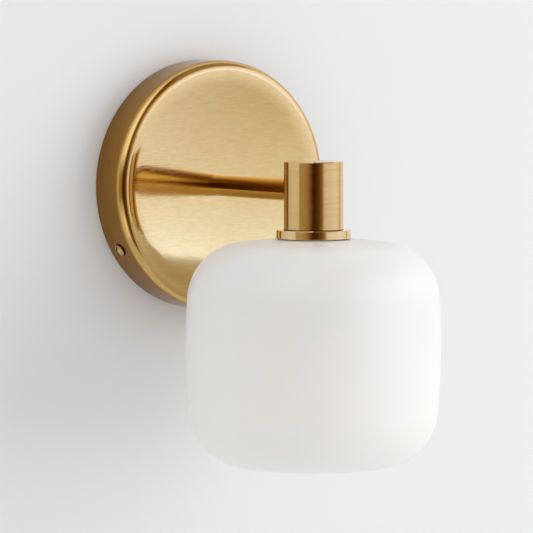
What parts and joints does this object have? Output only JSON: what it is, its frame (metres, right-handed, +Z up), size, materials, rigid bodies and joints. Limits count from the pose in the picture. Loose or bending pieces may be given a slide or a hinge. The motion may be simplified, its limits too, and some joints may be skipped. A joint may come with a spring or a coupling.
{
  "type": "wall sconce",
  "caption": "Wall light: round dished canopy, straight arm, cup holder and a closed opal glass shade that hangs below and screws into the cup.",
  "frame": {"origin": "centre of the canopy's back, on the wall plane", "axes": "+Z up, +Y into the wall, the arm points along -Y, +X to the right seen from the room"},
  "size_m": [0.128, 0.1645, 0.204],
  "materials": {
    "brushed_brass": "fine directional brushing, satin lacquer",
    "screw_brass": "turned, bright",
    "plain_brass": "turned, plain",
    "zinc_steel": "zinc plated",
    "green_screw": "green earth finish",
    "tinned_tag": "tinned",
    "green_lead": "PVC insulation",
    "white_lead": "silicone insulation",
    "black_lead": "silicone insulation",
    "white_plastic": "moulded",
    "ceramic": "unglazed steatite",
    "silicone": "translucent silicone",
    "opal_glass": "etched opal, satin",
    "clear_glass": "clear",
    "phosphor": "coated"
  },
  "bodies": {
    "fixture": {"canopy": "brushed_brass", "arm_tube": "brushed_brass", "socket_cup": "brushed_brass", "shade_ring": "brushed_brass", "side_screws": "screw_brass", "canopy_nipple": "plain_brass", "cup_nipple": "plain_brass", "terminal_clamps": "plain_brass", "canopy_nut": "plain_brass", "cup_nut": "plain_brass", "terminal_screws": "zinc_steel", "block_screw": "zinc_steel", "holder_screws": "zinc_steel", "canopy_washer": "zinc_steel", "wall_bracket": "zinc_steel", "holder_strap": "zinc_steel", "earth_screw": "green_screw", "earth_screw_tag": "tinned_tag", "earth_nipple_tag": "tinned_tag", "holder_contacts": "tinned_tag", "earth_lead": "green_lead", "left_lead": "white_lead", "right_lead": "black_lead", "terminal_block": "white_plastic", "lampholder": "ceramic"},
    "seal": {"shade_seal": "silicone"},
    "shade": {"glass_shade": "opal_glass", "shade_neck": "opal_glass"},
    "lamp": {"lamp_base": "white_plastic", "lamp_envelope": "clear_glass", "lamp_stem": "clear_glass", "lamp_filaments": "phosphor", "lamp_pins": "tinned_tag"}
  },
  "joints": [
    {"name": "shade_lower", "type": "slide", "parent": "fixture", "child": "seal", "axis": [0, 0, -1], "range_m": [0, 0.01001]},
    {"name": "shade_unscrew", "type": "hinge", "parent": "seal", "child": "shade", "pos_m": [0, -0.1005, -0.0236], "axis": [0, 0, -1], "range_deg": [0, 720]},
    {"name": "lamp_pull", "type": "slide", "parent": "fixture", "child": "lamp", "axis": [0, 0, -1], "range_m": [0, 0.0125]}
  ],
  "couplings": [
    {"joint": "shade_lower", "follows": "shade_unscrew", "m_per_rad": 0.00079577}
  ]
}
